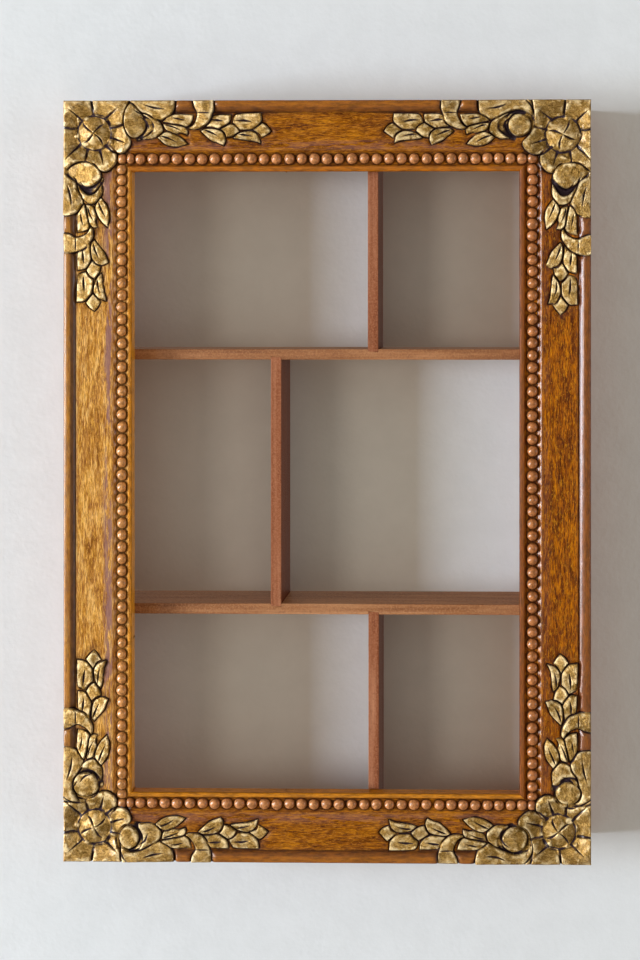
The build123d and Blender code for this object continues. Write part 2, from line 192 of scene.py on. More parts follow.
# Forms along an arm, the topmost last. Their points are (along the arm, from the outer edge).
ARM = {
    "hollow": (3.6, 0.8, 0, [(56, 10), (60.6, 9), (66.4, 12), (71, 17.4), (70.8, 22.4), (67, 26.8),
        (60.6, 29.4), (57, 28)]),
    "crescent": (1.2, 1.5, 0.3, [(60.6, 9.6, 1), (67.2, 9.9), (71.8, 12.3), (75.7, 16.3), (77.5, 20.6),
        (76.8, 24.6), (72.9, 28), (68.2, 29.6), (62.2, 28.9, 1), (67.6, 25.6), (70.5, 21.6), (70.1, 17.2),
        (66.4, 12.8)]),
    "lobe": (0.6, 1.6, 0.5, [(51.4, 3.4), (54.6, -2.5, 1), (85.9, -2.5, 1), (86.2, 4), (84.2, 10.2),
        (80.8, 13.8), (76.8, 15.3), (72, 13.8), (66, 10.6), (60.6, 9), (56, 8)]),
    "ball": (0.5, 1.6, 0.5, [(54.2, 1.8), (59.2, 7.4), (63.2, 12.6), (64.9, 18.4), (62.8, 24.4),
        (57.4, 28.6), (51.6, 26.6), (47.2, 21.6), (46, 15.4), (47.2, 8.6), (50.2, 4.2)]),
    "upper_leaf": (1.3, 1.1, 0.2, [(77.3, 15.6, 1), (81.4, 12.6), (86.8, 10.4), (99.3, 10.6, 1),
        (98.2, 15.4), (95.4, 19.4), (91.4, 19.1)]),
    "middle_leaf": (1.2, 1.1, 0.2, [(77.6, 17.4, 1), (84.6, 18.4), (92.4, 19.9), (95.2, 22.6),
        (94.7, 25.9, 1), (90.4, 24.4), (86.6, 24.9), (79.6, 22.6)]),
    "lower_leaf": (1.3, 1.2, 0.2, [(73.2, 28.6, 1), (79.2, 24.2), (85.4, 25.2), (90.6, 28.6),
        (94.9, 33.3, 1), (88.4, 34.9), (80.4, 33.8)]),
    "first_tulip_top": (1.2, 1.1, 0.2, [(106.8, 20, 1), (110.2, 14.4), (114.8, 10.9), (127.5, 10.7, 1),
        (126.9, 15), (124.4, 18.7), (118.9, 21.2), (112.6, 20.4)]),
    "first_tulip_foot": (1.2, 1.1, 0.2, [(104.6, 22.9, 1), (109, 21.2), (118.4, 22.3), (122.6, 26),
        (123.4, 30.2), (121.6, 33.9, 1), (116.4, 32), (111.6, 29.6)]),
    "first_bud": (1.4, 1.2, 0.3, [(119.8, 21.6, 1), (127.5, 17.1, 1), (131.4, 19.8), (133.7, 23.6, 1),
        (129, 27), (123.8, 28.2, 1), (122.6, 24.6)]),
    "second_tulip_top": (1.3, 1.1, 0.2, [(128.4, 16.8, 1), (129.6, 13), (133.4, 10.4), (150.8, 10, 1),
        (150.2, 15.4), (147.2, 19.6), (142.6, 22), (134.6, 22.2, 1), (131.8, 19)]),
    "second_tulip_foot": (1.3, 1.1, 0.2, [(129.2, 28.3, 1), (134.6, 24.4), (143.2, 23.2), (148.4, 26.8),
        (150.2, 32.6, 1), (144.4, 30.7), (134, 29.4)]),
    "second_bud": (1.5, 1.2, 0.3, [(144.2, 22.6, 1), (151.3, 17, 1), (155, 19.6), (157.9, 23.2, 1),
        (154.6, 26.2), (150.6, 28.4, 1), (148.6, 25.2)]),
    "band": (0.5, 1.5, 0.4, [(98.4, -2.5, 1), (113.9, -2.5, 1), (114.5, 5), (113.1, 10.6), (110.2, 16.8),
        (103.9, 21.4), (97.5, 22.2), (94.9, 20.7, 1), (99.4, 17.4), (102.1, 10.2), (99.8, 4.6)]),
}
# Chisel strokes: (width, depth, share along it where it is widest, points)
FLOWER_STROKES = [
    (2.8, 2.8, 0.02, [(35, 27.9), (41, 29.8), (48.2, 32.2)]),
    (3.2, 2.8, 0.02, [(26.6, 36.6), (28.6, 42), (30.8, 49.4)]),
    (3, 2.8, 0.02, [(13, 32.4), (7.4, 38.2), (1.2, 45.2)]),
    (2.3, 2.4, 0.02, [(14.2, 15.4), (9, 10.6), (3, 5.6)]),
    (2.9, 2.8, 0.02, [(30.4, 14.2), (35.4, 10.2), (42, 5.4)]),
    (2.6, 2.8, 0.02, [(34.4, 21), (40, 20), (46.4, 18.6)]),
    (3.2, 2.8, 0.02, [(30.8, 33.2), (36, 37.8), (41, 41.2)]),
    (2.8, 2.8, 0.02, [(17.8, 36.6), (16.8, 41.6), (15.8, 48.4)]),
    (1.5, 1.8, 0.5, [(10.4, 21.6), (5, 21.2), (-3, 20.6)]),
    (2.5, 2.6, 0.02, [(22.8, 12), (21.6, 6.2), (19.8, -3)]),
]
# Strokes across the disc, from its middle
DISC_STROKES = [
    (2.1, 2, 0.5, [(-0.4, 0.9), (2.8, -3.2), (5.6, -5.8), (9.2, -7.2)]),
    (2, 1.9, 0.6, [(0.6, 0.2), (-3.8, -2.6), (-7.2, -5.6), (-9.3, -9.2)]),
    (2, 2, 0.5, [(0.8, -0.8), (-2, 3), (-4.8, 5.8), (-8.6, 8.2)]),
    (2, 2, 0.6, [(-0.2, -0.2), (3.4, 2.8), (5.6, 6), (6.8, 9.8)]),
]
ARM_STROKES = [
    (1.9, 2, 0.5, [(63, 3), (71, 5.4), (79.6, 6.6)]),
    (1.2, 1.6, 0.4, [(56.6, 7), (59.4, 9.2), (62, 10.6)]),
    (2, 0.9, 0.5, [(60.6, 12.4), (65.4, 16.6), (67.2, 22.4)]),
    (1.4, 1.8, 0.5, [(83.6, 12.9), (88.4, 13.6), (94, 14.9)]),
    (1.6, 1.8, 0.3, [(78.8, 18.4), (84.6, 19.9), (91.4, 23.2)]),
    (1.8, 1.9, 0.4, [(75.4, 26.6), (81, 28.6), (88, 32.2)]),
    (1.1, 1.3, 0.5, [(100, 9.6), (107, 9.4), (115, 9.4)]),
    (2.2, 1.7, 0.5, [(111.6, 14.8), (117, 14.9), (122.8, 15.8)]),
    (1.9, 1.8, 0.4, [(106.6, 22.3), (112.2, 24.2), (118.8, 27.4)]),
    (2.2, 1.7, 0.5, [(130.8, 15.3), (137.4, 15.4), (144.4, 16.4)]),
    (1.7, 1.7, 0.4, [(132.6, 25.8), (138.6, 26.2), (145.4, 27.8)]),
]
# Corners: (x and y shift of the flower, radius of its disc, turn of the strokes across it in degrees,
# scales of the arms across and down)
CORNERS = {
    (-1, 1): (0, 0, 12.6, 0, 1, 1.012),
    (1, 1): (-1.9, 1.7, 13.3, 24, 0.99, 1.03),
    (-1, -1): (0.2, 1.2, 12.6, -14, 0.985, 1.015),
    (1, -1): (1.4, -0.2, 12.6, 9, 1.015, 1.005),
}
# Round balls, with the lobe beside them: (along the arm, from the outer edge, radius). The key is the
# corner and whether the arm goes down the stile.
ROUND_BALLS = {
    ((1, 1), False): (54.2, 18.8, 8.4),
    ((-1, -1), False): (51.9, 18.2, 8.9), ((-1, -1), True): (58.8, 16.8, 9.4),
    ((1, -1), False): (56.7, 18.4, 9.6), ((1, -1), True): (54.2, 17, 9.4),
}
SOCKET_RISE, SOCKET_GROWTH, SOCKET_DROP = 1.2, 2.3, 3.5  # dark hollow round it
WIDE_LOBE = [(46, -2.5, 1)] + ARM["lobe"][3][2:8] + [
    (66, 10.4), (60.6, 8.6), (54, 7.6), (48, 9.4, 1), (45, 12, 1), (44.4, 6)]
LOBE_STROKE = (2, 2.4, 0.5, [(51.8, -2), (46.6, 3.4), (43.8, 9.6), (43.6, 17)])
# In the bottom corners the crescent reaches up to the ball
WIDE_CRESCENT = [(58, 8.4, 1)] + ARM["crescent"][3][1:8] + [(60.4, 28.9, 1), (59, 19)]


def clamp(value):
    return np.clip(value, 0, 1)


def closed_curve(points):
    """Outline through the points as an array, smooth but for the points with a third value."""
    count = len(points)
    place = [np.array(p[:2], float) for p in points]
    sharp = [len(p) > 2 for p in points]
    out = []
    for i in range(count):
        j = (i + 1) % count
        before = place[i] if sharp[i] else place[i - 1]
        after = place[j] if sharp[j] else place[(j + 1) % count]
        out += spline(before, place[i], place[j], after)
    return np.array(out)


def spline(before, start, end, after):
    """Points of the curve from start to end, whose slopes follow the points before and after."""
    return [0.5 * (2 * start + (end - before) * t + (2 * before - 5 * start + 4 * end - after) * t ** 2
                   + (3 * start - before - 3 * end + after) * t ** 3)
            for t in np.arange(CURVE_STEPS) / CURVE_STEPS]


def open_curve(points):
    """Smooth line through the points, as an array."""
    place = [np.array(p, float) for p in points]
    place = [2 * place[0] - place[1]] + place + [2 * place[-1] - place[-2]]
    out = []
    for i in range(1, len(place) - 2):
        out += spline(*place[i - 1:i + 3])
    return np.array(out + [place[-2]])


def near(x, y, outline, margin):
    """Which points lie in the outline's box and its margin."""
    (x1, y1), (x2, y2) = outline.min(0) - margin, outline.max(0) + margin
    return (x > x1) & (x < x2) & (y > y1) & (y < y2)


def inside_distance(x, y, outline):
    """Distance of each point from a closed outline, positive inside it."""
    nearest = np.full(x.shape, 1e9)
    inside = np.zeros(x.shape, bool)
    for (x1, y1), (x2, y2) in zip(outline, np.roll(outline, -1, axis=0)):
        dx, dy = x2 - x1, y2 - y1
        share = clamp(((x - x1) * dx + (y - y1) * dy) / (dx * dx + dy * dy + 1e-9))
        nearest = np.minimum(nearest, (x - x1 - share * dx) ** 2 + (y - y1 - share * dy) ** 2)
        if dy:
            inside ^= ((y1 > y) != (y2 > y)) & (x < x1 + (y - y1) * dx / dy)
    return np.where(inside, 1, -1) * np.sqrt(nearest)


def stroke_depth(x, y, width, depth, peak, line):
    """Depth of a chisel stroke along a line: pointed at both ends and widest at the share peak."""
    cut = np.zeros(x.shape)
    pieces = len(line) - 1
    for i in range(pieces):
        (x1, y1), (x2, y2) = line[i], line[i + 1]
        dx, dy = x2 - x1, y2 - y1
        share = clamp(((x - x1) * dx + (y - y1) * dy) / (dx * dx + dy * dy))
        away = np.hypot(x - x1 - share * dx, y - y1 - share * dy)
        along = (i + share) / pieces
        swell = np.where(along < peak, along / peak, (1 - along) / (1 - peak)) ** STROKE_FULLNESS
        cut = np.maximum(cut, depth * swell * clamp(1 - away / (width / 2 * swell + LEAST_STROKE)))
    return cut


def waves(x, y, seed, length):
    """Smooth noise of about unit height made of sine waves, the same for every piece."""
    rng = np.random.default_rng(seed)
    total = np.zeros(x.shape)
    for _ in range(WAVE_COUNT):
        angle, phase = rng.uniform(0, 2 * math.pi, 2)
        k = 2 * math.pi / (length * rng.uniform(*WAVE_SPREAD))
        total += np.sin(k * (x * math.cos(angle) + y * math.sin(angle)) + phase)
    return total / math.sqrt(WAVE_COUNT / 2)


def uneven_surface(x, y, layers):
    """Layers of waves, each given as (seed, height, length)."""
    return sum(height * waves(x, y, seed, length) for seed, height, length in layers)


def step(value, start, end):
    """0 before start and 1 after end, smooth between them."""
    t = clamp((value - start) / (end - start))
    return t * t * (3 - 2 * t)


def moved(points, swap, scale, rng):
    """Points of an arm, unevenly carved, with their coordinates swapped for the arm that goes down."""
    out = []
    for point in points:
        u = point[0] * scale + rng.normal(0, HAND[0])
        v = point[1] + (rng.normal(0, HAND[1]) if point[1] > 0 else 0)
        out.append(((v, u) if swap else (u, v)) + tuple(point[2:]))
    return out


def circle(middle_u, middle_v, radius):
    return [(middle_u + radius * math.cos(turn), middle_v + radius * math.sin(turn))
            for turn in np.linspace(0, 2 * math.pi, 11)[:-1]]


def corner_rng(seed, key):
    return np.random.default_rng(seed + 3 * key[0] + key[1])


def flower(shift_x, shift_y, turn):
    """Petals and strokes of the flower, and the middle of its disc."""
    forms = []
    for *shape, points in FLOWER.values():
        grown = [(p[0] + (shift_x if p[0] > 0 else 0), p[1] + (shift_y if p[1] > 0 else 0)) + tuple(p[2:])
                 for p in points]
        forms.append((*shape, closed_curve(grown), 1))
    strokes = [(*cut, open_curve([(u + shift_x, v + shift_y) for u, v in points]))
               for *cut, points in FLOWER_STROKES]
    cosine, sine = math.cos(math.radians(turn)), math.sin(math.radians(turn))
    middle_u, middle_v = DISC[0] + shift_x, DISC[1] + shift_y
    for *cut, points in DISC_STROKES:
        turned = [(middle_u + u * cosine - v * sine, middle_v + u * sine + v * cosine) for u, v in points]
        strokes.append((*cut, open_curve(turned)))
    return forms, strokes, (middle_u, middle_v)


def arm(key, swap, scale, rng):
    """Forms and strokes of one arm of a corner."""
    forms, strokes = [], []
    ball = ROUND_BALLS.get((key, swap))
    for name, (drop, edge, dome, points) in ARM.items():
        if ball and name == "ball":
            points = circle(*ball)
        if ball and name == "lobe":
            points = WIDE_LOBE
            socket = circle(ball[0], ball[1] - SOCKET_RISE, ball[2] + SOCKET_GROWTH)
            forms.append((SOCKET_DROP, edge, 0.0, closed_curve(moved(socket, swap, scale, rng)), 0))
        if ball and name == "crescent" and key[1] < 0:
            points = WIDE_CRESCENT
        forms.append((drop, edge, dome, closed_curve(moved(points, swap, scale, rng)), 0))
    for *cut, points in ARM_STROKES + ([LOBE_STROKE] if ball else []):
        strokes.append((*cut, open_curve(moved(points, swap, scale, rng))))
    return forms, strokes


def corner_forms(key):
    """Forms, strokes and disc of a corner. The last value of a form is 1 for the petals, which fall towards
    the disc."""
    shift_x, shift_y, disc_radius, turn, across, down = CORNERS[key]
    forms, strokes, middle = flower(shift_x, shift_y, turn)
    rng = corner_rng(CARVING_SEED, key)
    for swap, scale in ((False, across), (True, down)):
        arm_forms, arm_strokes = arm(key, swap, scale, rng)
        forms += arm_forms
        strokes += arm_strokes
    return forms, strokes, middle, disc_radius


def moulding(along, across, fade):
    """Height of the plain moulding. along is the distance from the nearest corner."""
    outer = RIM_OUTER_FALL * clamp(1 - across / RIM_CREST) ** 2
    fall = RIM_INNER_FALL * fade + RIM_WORN_FALL * (1 - fade)
    inner = fall * (np.clip(across - RIM_CREST, 0, None) / (RIM - RIM_CREST)) ** 2
    rim = FRONT - RIM_DROP - outer - inner
    sag = FIELD_SAG * np.sin(math.pi * clamp((across - FIELD_START) / FIELD_WIDTH))
    field = FRONT - FIELD_DROP - sag
    height = rim + (field - rim) * step(across, RIM - 0.2, GROOVE_END)
    bare = 1 - step(along, *RIM_BREAK)
    height = np.where(across < GROOVE_END + 0.4, height * (1 - bare) + (FRONT - CORNER_GROUND) * bare, height)
    floor = FRONT - CHANNEL_DROP
    lip_share = clamp((across - LIP_START) / (MEMBER - LIP_START))
    lip = FRONT - LIP_DROP - LIP_FALL * clamp((lip_share - LIP_CREST) / (1 - LIP_CREST)) ** 2
    lip -= LIP_ROUND_FALL * clamp(1 - lip_share / LIP_ROUND) ** 2
    into = clamp((across - WALL_START) / (CHANNEL_START - WALL_START))
    out_of = step(across, LIP_START - LIP_WALL, LIP_START + 0.3)
    height = height * (1 - into) + floor * into
    return height * (1 - out_of) + lip * out_of


def bead_row(length, pitch, seed):
    """Places, radii and offsets of a member's beads. The end beads sit on the mitres."""
    span = length - 2 * BEAD_ROW
    gaps = round(span / pitch)
    order = np.arange(gaps)
    steps = 1 - BEAD_CROWDING * np.exp(-np.minimum(order, gaps - 1 - order) / CROWDED_BEADS)
    places = span * (np.concatenate([[0], np.cumsum(steps)]) / steps.sum() - 0.5)
    rng = np.random.default_rng(seed)
    jitter = rng.normal(0, BEAD_JITTER, gaps + 1)
    radii = BEAD_RADIUS + rng.normal(0, BEAD_SPREAD, gaps + 1)
    offsets = rng.normal(0, BEAD_OFFSET, gaps + 1)
    for values, plain in ((jitter, 0.0), (radii, BEAD_RADIUS), (offsets, 0.0)):
        values[[0, -1]] = plain
    return places + jitter, radii, offsets


def beads(along, across, length, pitch, seed):
    """Height of the beads above the channel's floor, and how much a point is bead."""
    places, radii, offsets = bead_row(length, pitch, seed)
    middles = (places[1:] + places[:-1]) / 2
    which = np.searchsorted(middles, along)
    centre = BEAD_ROW + offsets[which]
    away = np.hypot(along - places[which], across - centre) / radii[which]
    height = BEAD_HEIGHT * np.sqrt(clamp(1 - away ** 2)) ** BEAD_ROUNDNESS
    return height, 1 - step(away, *BEAD_EDGE)


def blurred(values, cells):
    """Grid smoothed by three running means each way, over so many cells to both sides."""
    out = values
    for _ in range(3):
        for axis in (0, 1):
            pad = [(cells + 1, cells) if a == axis else (0, 0) for a in (0, 1)]
            total = np.cumsum(np.pad(out, pad, mode="edge"), axis=axis)
            size = 2 * cells + 1
            high = np.take(total, range(size, total.shape[axis]), axis=axis)
            low = np.take(total, range(total.shape[axis] - size), axis=axis)
            out = (high - low) / size
    return out


def form_height(u, v, inside, form, tilt, slope):
    """Height of one carved form: a dome with a rounded edge, on its foot."""
    drop, edge, dome, outline, petal = form
    inner = np.clip(inside + FORM_GROWTH, 0, None)
    round_off = np.sqrt(1 - (1 - clamp(inner / (EDGE_ROUND * edge))) ** 2)
    middle_u, middle_v = outline.mean(0)
    crown = FRONT - drop - dome * np.exp(-inner / DOME_REACH) - tilt * petal
    crown = crown + slope[0] * (u - middle_u) + slope[1] * (v - middle_v)
    crown = crown + uneven_surface(u, v, FORM_WEAR)
    return np.where(inside > -FORM_GROWTH, ROOT + (crown - ROOT) * round_off, BURIED)


def disc_height(inside, radius):
    """Height of the flower's disc at a distance inside its edge."""
    dome = FRONT - DISC_DROP + DISC_DOME * clamp(inside / radius) ** DISC_FULLNESS
    round_off = np.sqrt(1 - (1 - clamp(inside / DISC_EDGE)) ** 2) ** DISC_FULLNESS
    return np.maximum(ROOT + (dome - ROOT) * round_off, ROOT)


def carved_corner(key, u, v, ground):
    """Height and masks of a corner's carving, at distances u from the side edge and v from the end edge."""
    forms, strokes, middle, disc_radius = corner_forms(key)
    from_disc = np.hypot(u - middle[0], v - middle[1]) - disc_radius
    tilt = CUP * (1 - clamp(from_disc / CUP_REACH))
    lean = corner_rng(LEAN_SEED, key)
    uneven = np.clip(0.8 + 0.4 * waves(u, v, 12, 9.0), 0.2, 1.4)
    top, depth, dark = np.full(u.shape, BURIED), np.full(u.shape, -30.0), np.zeros(u.shape)
    for form in forms:
        outline, petal = form[3:]
        pick = near(u, v, outline, 6)
        inside = inside_distance(u[pick], v[pick], outline)
        depth[pick] = np.maximum(depth[pick], inside)
        slope = lean.normal(0, LEAN, 2) * (1 - petal)
        height = form_height(u[pick], v[pick], inside, form, tilt[pick], slope)
        beside = np.exp(-(np.clip(-inside - FORM_GROWTH, 0, None) / MOAT_WIDTH) ** 2)
        below = top[pick] - MOAT * uneven[pick] * beside * (1 - petal)
        # dark is painted shade over antique dark, in the moat round each form, the ring round the disc and
        # the strokes
        dark[pick] = np.where(inside > -FORM_GROWTH, 0, np.maximum(dark[pick], uneven[pick] * beside))
        top[pick] = np.maximum(np.where(top[pick] > ROOT, np.maximum(below, ROOT), top[pick]), height)
    ring = RING * np.clip(0.8 + 0.4 * waves(u, v, 13, 12.0), 0.3, 1.5)
    around_disc = np.where(from_disc < ring, ROOT - RING_DEPTH, top)
    top = np.where(from_disc < 0, disc_height(-from_disc, disc_radius), around_disc)
    depth = np.maximum(depth, 2 * RING - from_disc)
    ring_dark = RING_DARK * uneven * np.exp(-((from_disc - ring / 2) / (0.75 * ring + 0.2)) ** 2)
    dark = np.where(from_disc < -RING, 0, np.maximum(dark, ring_dark))
    for width, cut, peak, line in strokes:
        pick = near(u, v, line, 2)
        stroke = stroke_depth(u[pick], v[pick], width, cut, peak, line)
        top[pick] -= stroke
        dark[pick] = np.maximum(dark[pick], step(stroke, *[share * cut for share in STROKE_DARK]))
    outside = np.clip(-depth, 0, None)
    sink = uneven * sum(fall * np.exp(-(outside / reach) ** 2) for fall, reach in SINKS)
    return np.maximum(np.maximum(ground - sink, ROOT), top), {
        "gilt": step(depth, -0.45, 0.1), "within": step(depth, 0.1, 0.6), "cuts": dark,
        # the mask beside the forms carries dirt and painted shade
        "apart": step(from_disc, 16, 22), "dirt_and_shade": np.exp(-outside / DIRT_AND_SHADE_REACH),
        "outline": 1 - step(outside, 0.3, 0.5 + 0.8 * uneven)}


def sunk(height, cells, least, span):
    """How far a point lies below its surroundings: 0 up to the least depth and 1 from span deeper."""
    return clamp((blurred(height, cells) - height - least) / span)


def band_masks(across, fade, bead):
    """Masks of the moulding's bands. fade is how much of the groove there is."""
    rim = 1 - step(across, RIM - BAND_BLEND, RIM + BAND_BLEND)
    wall = step(across, WALL_START - 0.7, WALL_START) * (1 - step(across, CHANNEL_START - 0.3, CHANNEL_START))
    return {
        "bead": bead, "rim": rim, "gloss": np.maximum(bead, BAND_GLOSS * np.maximum(rim, wall)),
        # the rim's inner slope, which the fall tones paint darker as shade
        "fall": rim * step(across, RIM_SIDE - BAND_BLEND, RIM_SIDE + BAND_BLEND),
        # line along the rim's groove that gets painted shade
        "groove_shade": np.exp(-((across - GROOVE_LINE) / GROOVE_WIDTH) ** 2) * fade,
        # band beside the channel that gets painted sheen and worn varnish
        "worn": step(across, WALL_START - 9, WALL_START - 4) * (1 - step(across, WALL_START - 1, WALL_START)),
        "lip": step(across, LIP_START - 0.2, LIP_START + 0.4)}


def relief(x, y, along, across, length, pitch, seed, fade):
    """Height of the carved front and its masks, at page points and their places on the member."""
    corner_along = length / 2 - np.abs(along)
    bead, bead_mask = beads(along, across, length, pitch, seed)
    height = moulding(corner_along, across, fade) + bead
    side, end = HALF_WIDTH - np.abs(x), HALF_HEIGHT - np.abs(y)
    carving = {}
    for key in CORNERS:
        here = (np.sign(x) == key[0]) & (np.sign(y) == key[1]) & (corner_along < END + 2)
        height[here], masks = carved_corner(key, side[here], end[here], height[here])
        for name, values in masks.items():
            carving.setdefault(name, np.zeros(x.shape))[here] = values
    height = height + uneven_surface(x, y, WEAR)
    for (fall, width), from_edge in ((OUTER_EDGE, across), (INNER_EDGE, MEMBER - across)):
        height = height - fall * clamp(1 - from_edge / width) ** 2
    height = np.minimum(height, FRONT)
    gilt = carving["gilt"]
    # recess is painted shade over antique dark, in narrow hollows, in the wide hollows of the gilding and in
    # the cuts
    recess = sunk(height, *FINE_RECESS) * (1 - EDGE_LIGHT * carving["within"])
    recess = np.maximum(recess, 0.8 * sunk(height, *BROAD_RECESS) * gilt * carving["apart"])
    recess = np.maximum(recess, CUT_DARK * clamp(carving["cuts"]) * gilt)
    masks = {name: carving[name] for name in ("gilt", "dirt_and_shade", "outline")}
    return height, masks | band_masks(across, fade, bead_mask) | {
        "recess": recess, "ridge": sunk(-height, *RIDGE)}


def shifted(place, half, shift):
    """Coordinates with the moulding's inner edge on the negative side moved outwards."""
    inward = half + place
    grown = clamp((inward - SHIFT_START) / (MEMBER - SHIFT_START))
    return place - shift * grown * (1 - step(inward, MEMBER, MEMBER + SHIFT_FADE))


def new_object(name, data):
    """Object with a mesh, a light or a camera, in the scene."""
    obj = bpy.data.objects.new(name, data)
    bpy.context.scene.collection.objects.link(obj)
    return obj


def slopes(points):
    """Unit normals of the grid of points of a whole member, so that no seam shows."""
    down = np.gradient(points, axis=0)
    right = np.gradient(points, axis=1)
    normals = np.cross(down, right)
    normals *= np.sign(-normals[..., 1:2])
    return normals / np.linalg.norm(normals, axis=-1, keepdims=True)


def face_outwards(mesh):
    made = bmesh.new()
    made.from_mesh(mesh)
    bmesh.ops.recalc_face_normals(made, faces=made.faces)
    made.to_mesh(mesh)
    made.free()


def shade_front(mesh, normals, count):
    """Make the front's faces, which come first, smooth with the normals of its points."""
    mesh.polygons.foreach_set("use_smooth", np.arange(len(mesh.polygons)) < count)
    corners = np.zeros(len(mesh.loops), int)
    mesh.loops.foreach_get("vertex_index", corners)
    given = np.zeros((len(corners), 3))
    given[:4 * count] = normals.reshape(-1, 3)[corners[:4 * count]]
    mesh.normals_split_custom_set(given.tolist())


def closed_slab(name, points, normals, back, masks):
    """Object with the grid of points as its front, straight walls and a flat back at y = back."""
    rows, columns = points.shape[:2]
    index = np.arange(rows * columns).reshape(rows, columns)
    loop = np.concatenate([index[0, :-1], index[:-1, -1], index[-1, :0:-1], index[:0:-1, 0]])
    front = points.reshape(-1, 3)
    behind = points.copy()
    behind[-1] += (points[-2] - points[-1]) * (INNER_SLOPE / FINE)
    ring = behind.reshape(-1, 3)[loop]
    ring[:, 1] = back
    brim = front[loop]
    shoulder = brim + (ring - brim) * (SHOULDER * MM / (back - brim[:, 1:2]))
    quads = np.stack([index[:-1, :-1], index[1:, :-1], index[1:, 1:], index[:-1, 1:]], -1).reshape(-1, 4)
    count = len(loop)
    middle, base = len(front), len(front) + count
    here = np.arange(count)
    after = (here + 1) % count
    walls = np.concatenate([np.stack([loop, loop[after], middle + after, middle + here], -1),
                            np.stack([middle + here, middle + after, base + after, base + here], -1)])
    far = 2 * (columns - 1) + (rows - 1)
    strips = [[base + j, base + j + 1, base + far - j - 1, base + far - j] for j in range(1, columns - 2)]
    first = [base, base + 1, base + far - 1] + [base + k for k in range(far, count)]
    last = [base + k for k in range(columns - 2, columns + rows)]
    mesh = bpy.data.meshes.new(name)
    faces = quads.tolist() + walls.tolist() + strips + [first, last]
    mesh.from_pydata(np.concatenate([front, shoulder, ring]).tolist(), [], faces)
    for mask, values in masks.items():
        layer = mesh.attributes.new(mask, "FLOAT", "POINT")
        below = values.ravel()[loop] * (mask in WALL_MASKS)
        layer.data.foreach_set("value", np.concatenate([values.ravel(), below, below]).astype(np.float32))
    face_outwards(mesh)
    shade_front(mesh, normals, len(quads))
    return new_object(name, mesh)


def carved_member(node, way, seed, worn):
    """Frame member in three meshes. way is 1 at the top and the right and -1 at the bottom and the left, and
    worn is how far the groove is gone in the middle."""
    rail = "rail" in node
    half, pitch = (HALF_WIDTH, RAIL_BEAD_PITCH) if rail else (HALF_HEIGHT, STILE_BEAD_PITCH)
    length = 2 * half
    rows = np.linspace(0, MEMBER, round(MEMBER / FINE) + 1)
    fine = np.linspace(0, 1, round(END / FINE) + 1)
    middle = np.linspace(END - half, half - END, round((length - 2 * END) / COARSE) + 1)
    across = rows[:, None]
    left = across - half + fine[None, :] * (END - across)
    along = np.concatenate([left, np.repeat(middle[None, 1:-1], len(rows), 0), -left[:, ::-1]], 1)
    across = np.repeat(across, along.shape[1], 1)
    x, y = (along, way * (HALF_HEIGHT - across)) if rail else (way * (HALF_WIDTH - across), along)
    fade = 1 - worn * np.exp(-(along / WORN_LENGTH) ** 2)
    height, masks = relief(x, y, along, across, length, pitch, seed, fade)
    x, y = shifted(x, HALF_WIDTH, LEFT_SHIFT), shifted(y, HALF_HEIGHT, BOTTOM_SHIFT)
    points = np.stack([x * MM, -height * MM, y * MM + CENTRE_Z], -1)
    normals = slopes(points)
    stops = (0, len(fine) - 1, along.shape[1] - len(fine), along.shape[1] - 1)
    pieces = []
    for part, start, end in zip(("start", "middle", "finish"), stops, stops[1:]):
        cut = slice(start, end + 1)
        part_masks = {name: values[:, cut] for name, values in masks.items()}
        name = f"{node}_{part}"
        pieces.append(closed_slab(name, points[:, cut], normals[:, cut], -FRAME_BACK * MM, part_masks))
    return pieces


# Materials
def rgb(red, green, blue):
    """Colour as the shaders take it, from sRGB values of 0 to 255."""
    shares = [c / 255 for c in (red, green, blue)]
    return tuple(c / 12.92 if c <= 0.04045 else ((c + 0.055) / 1.055) ** 2.4 for c in shares) + (1.0,)


def darker(colour, share=0.45):
    """The colour with that share of its light."""
    return tuple(share * c for c in colour[:3]) + (1.0,)


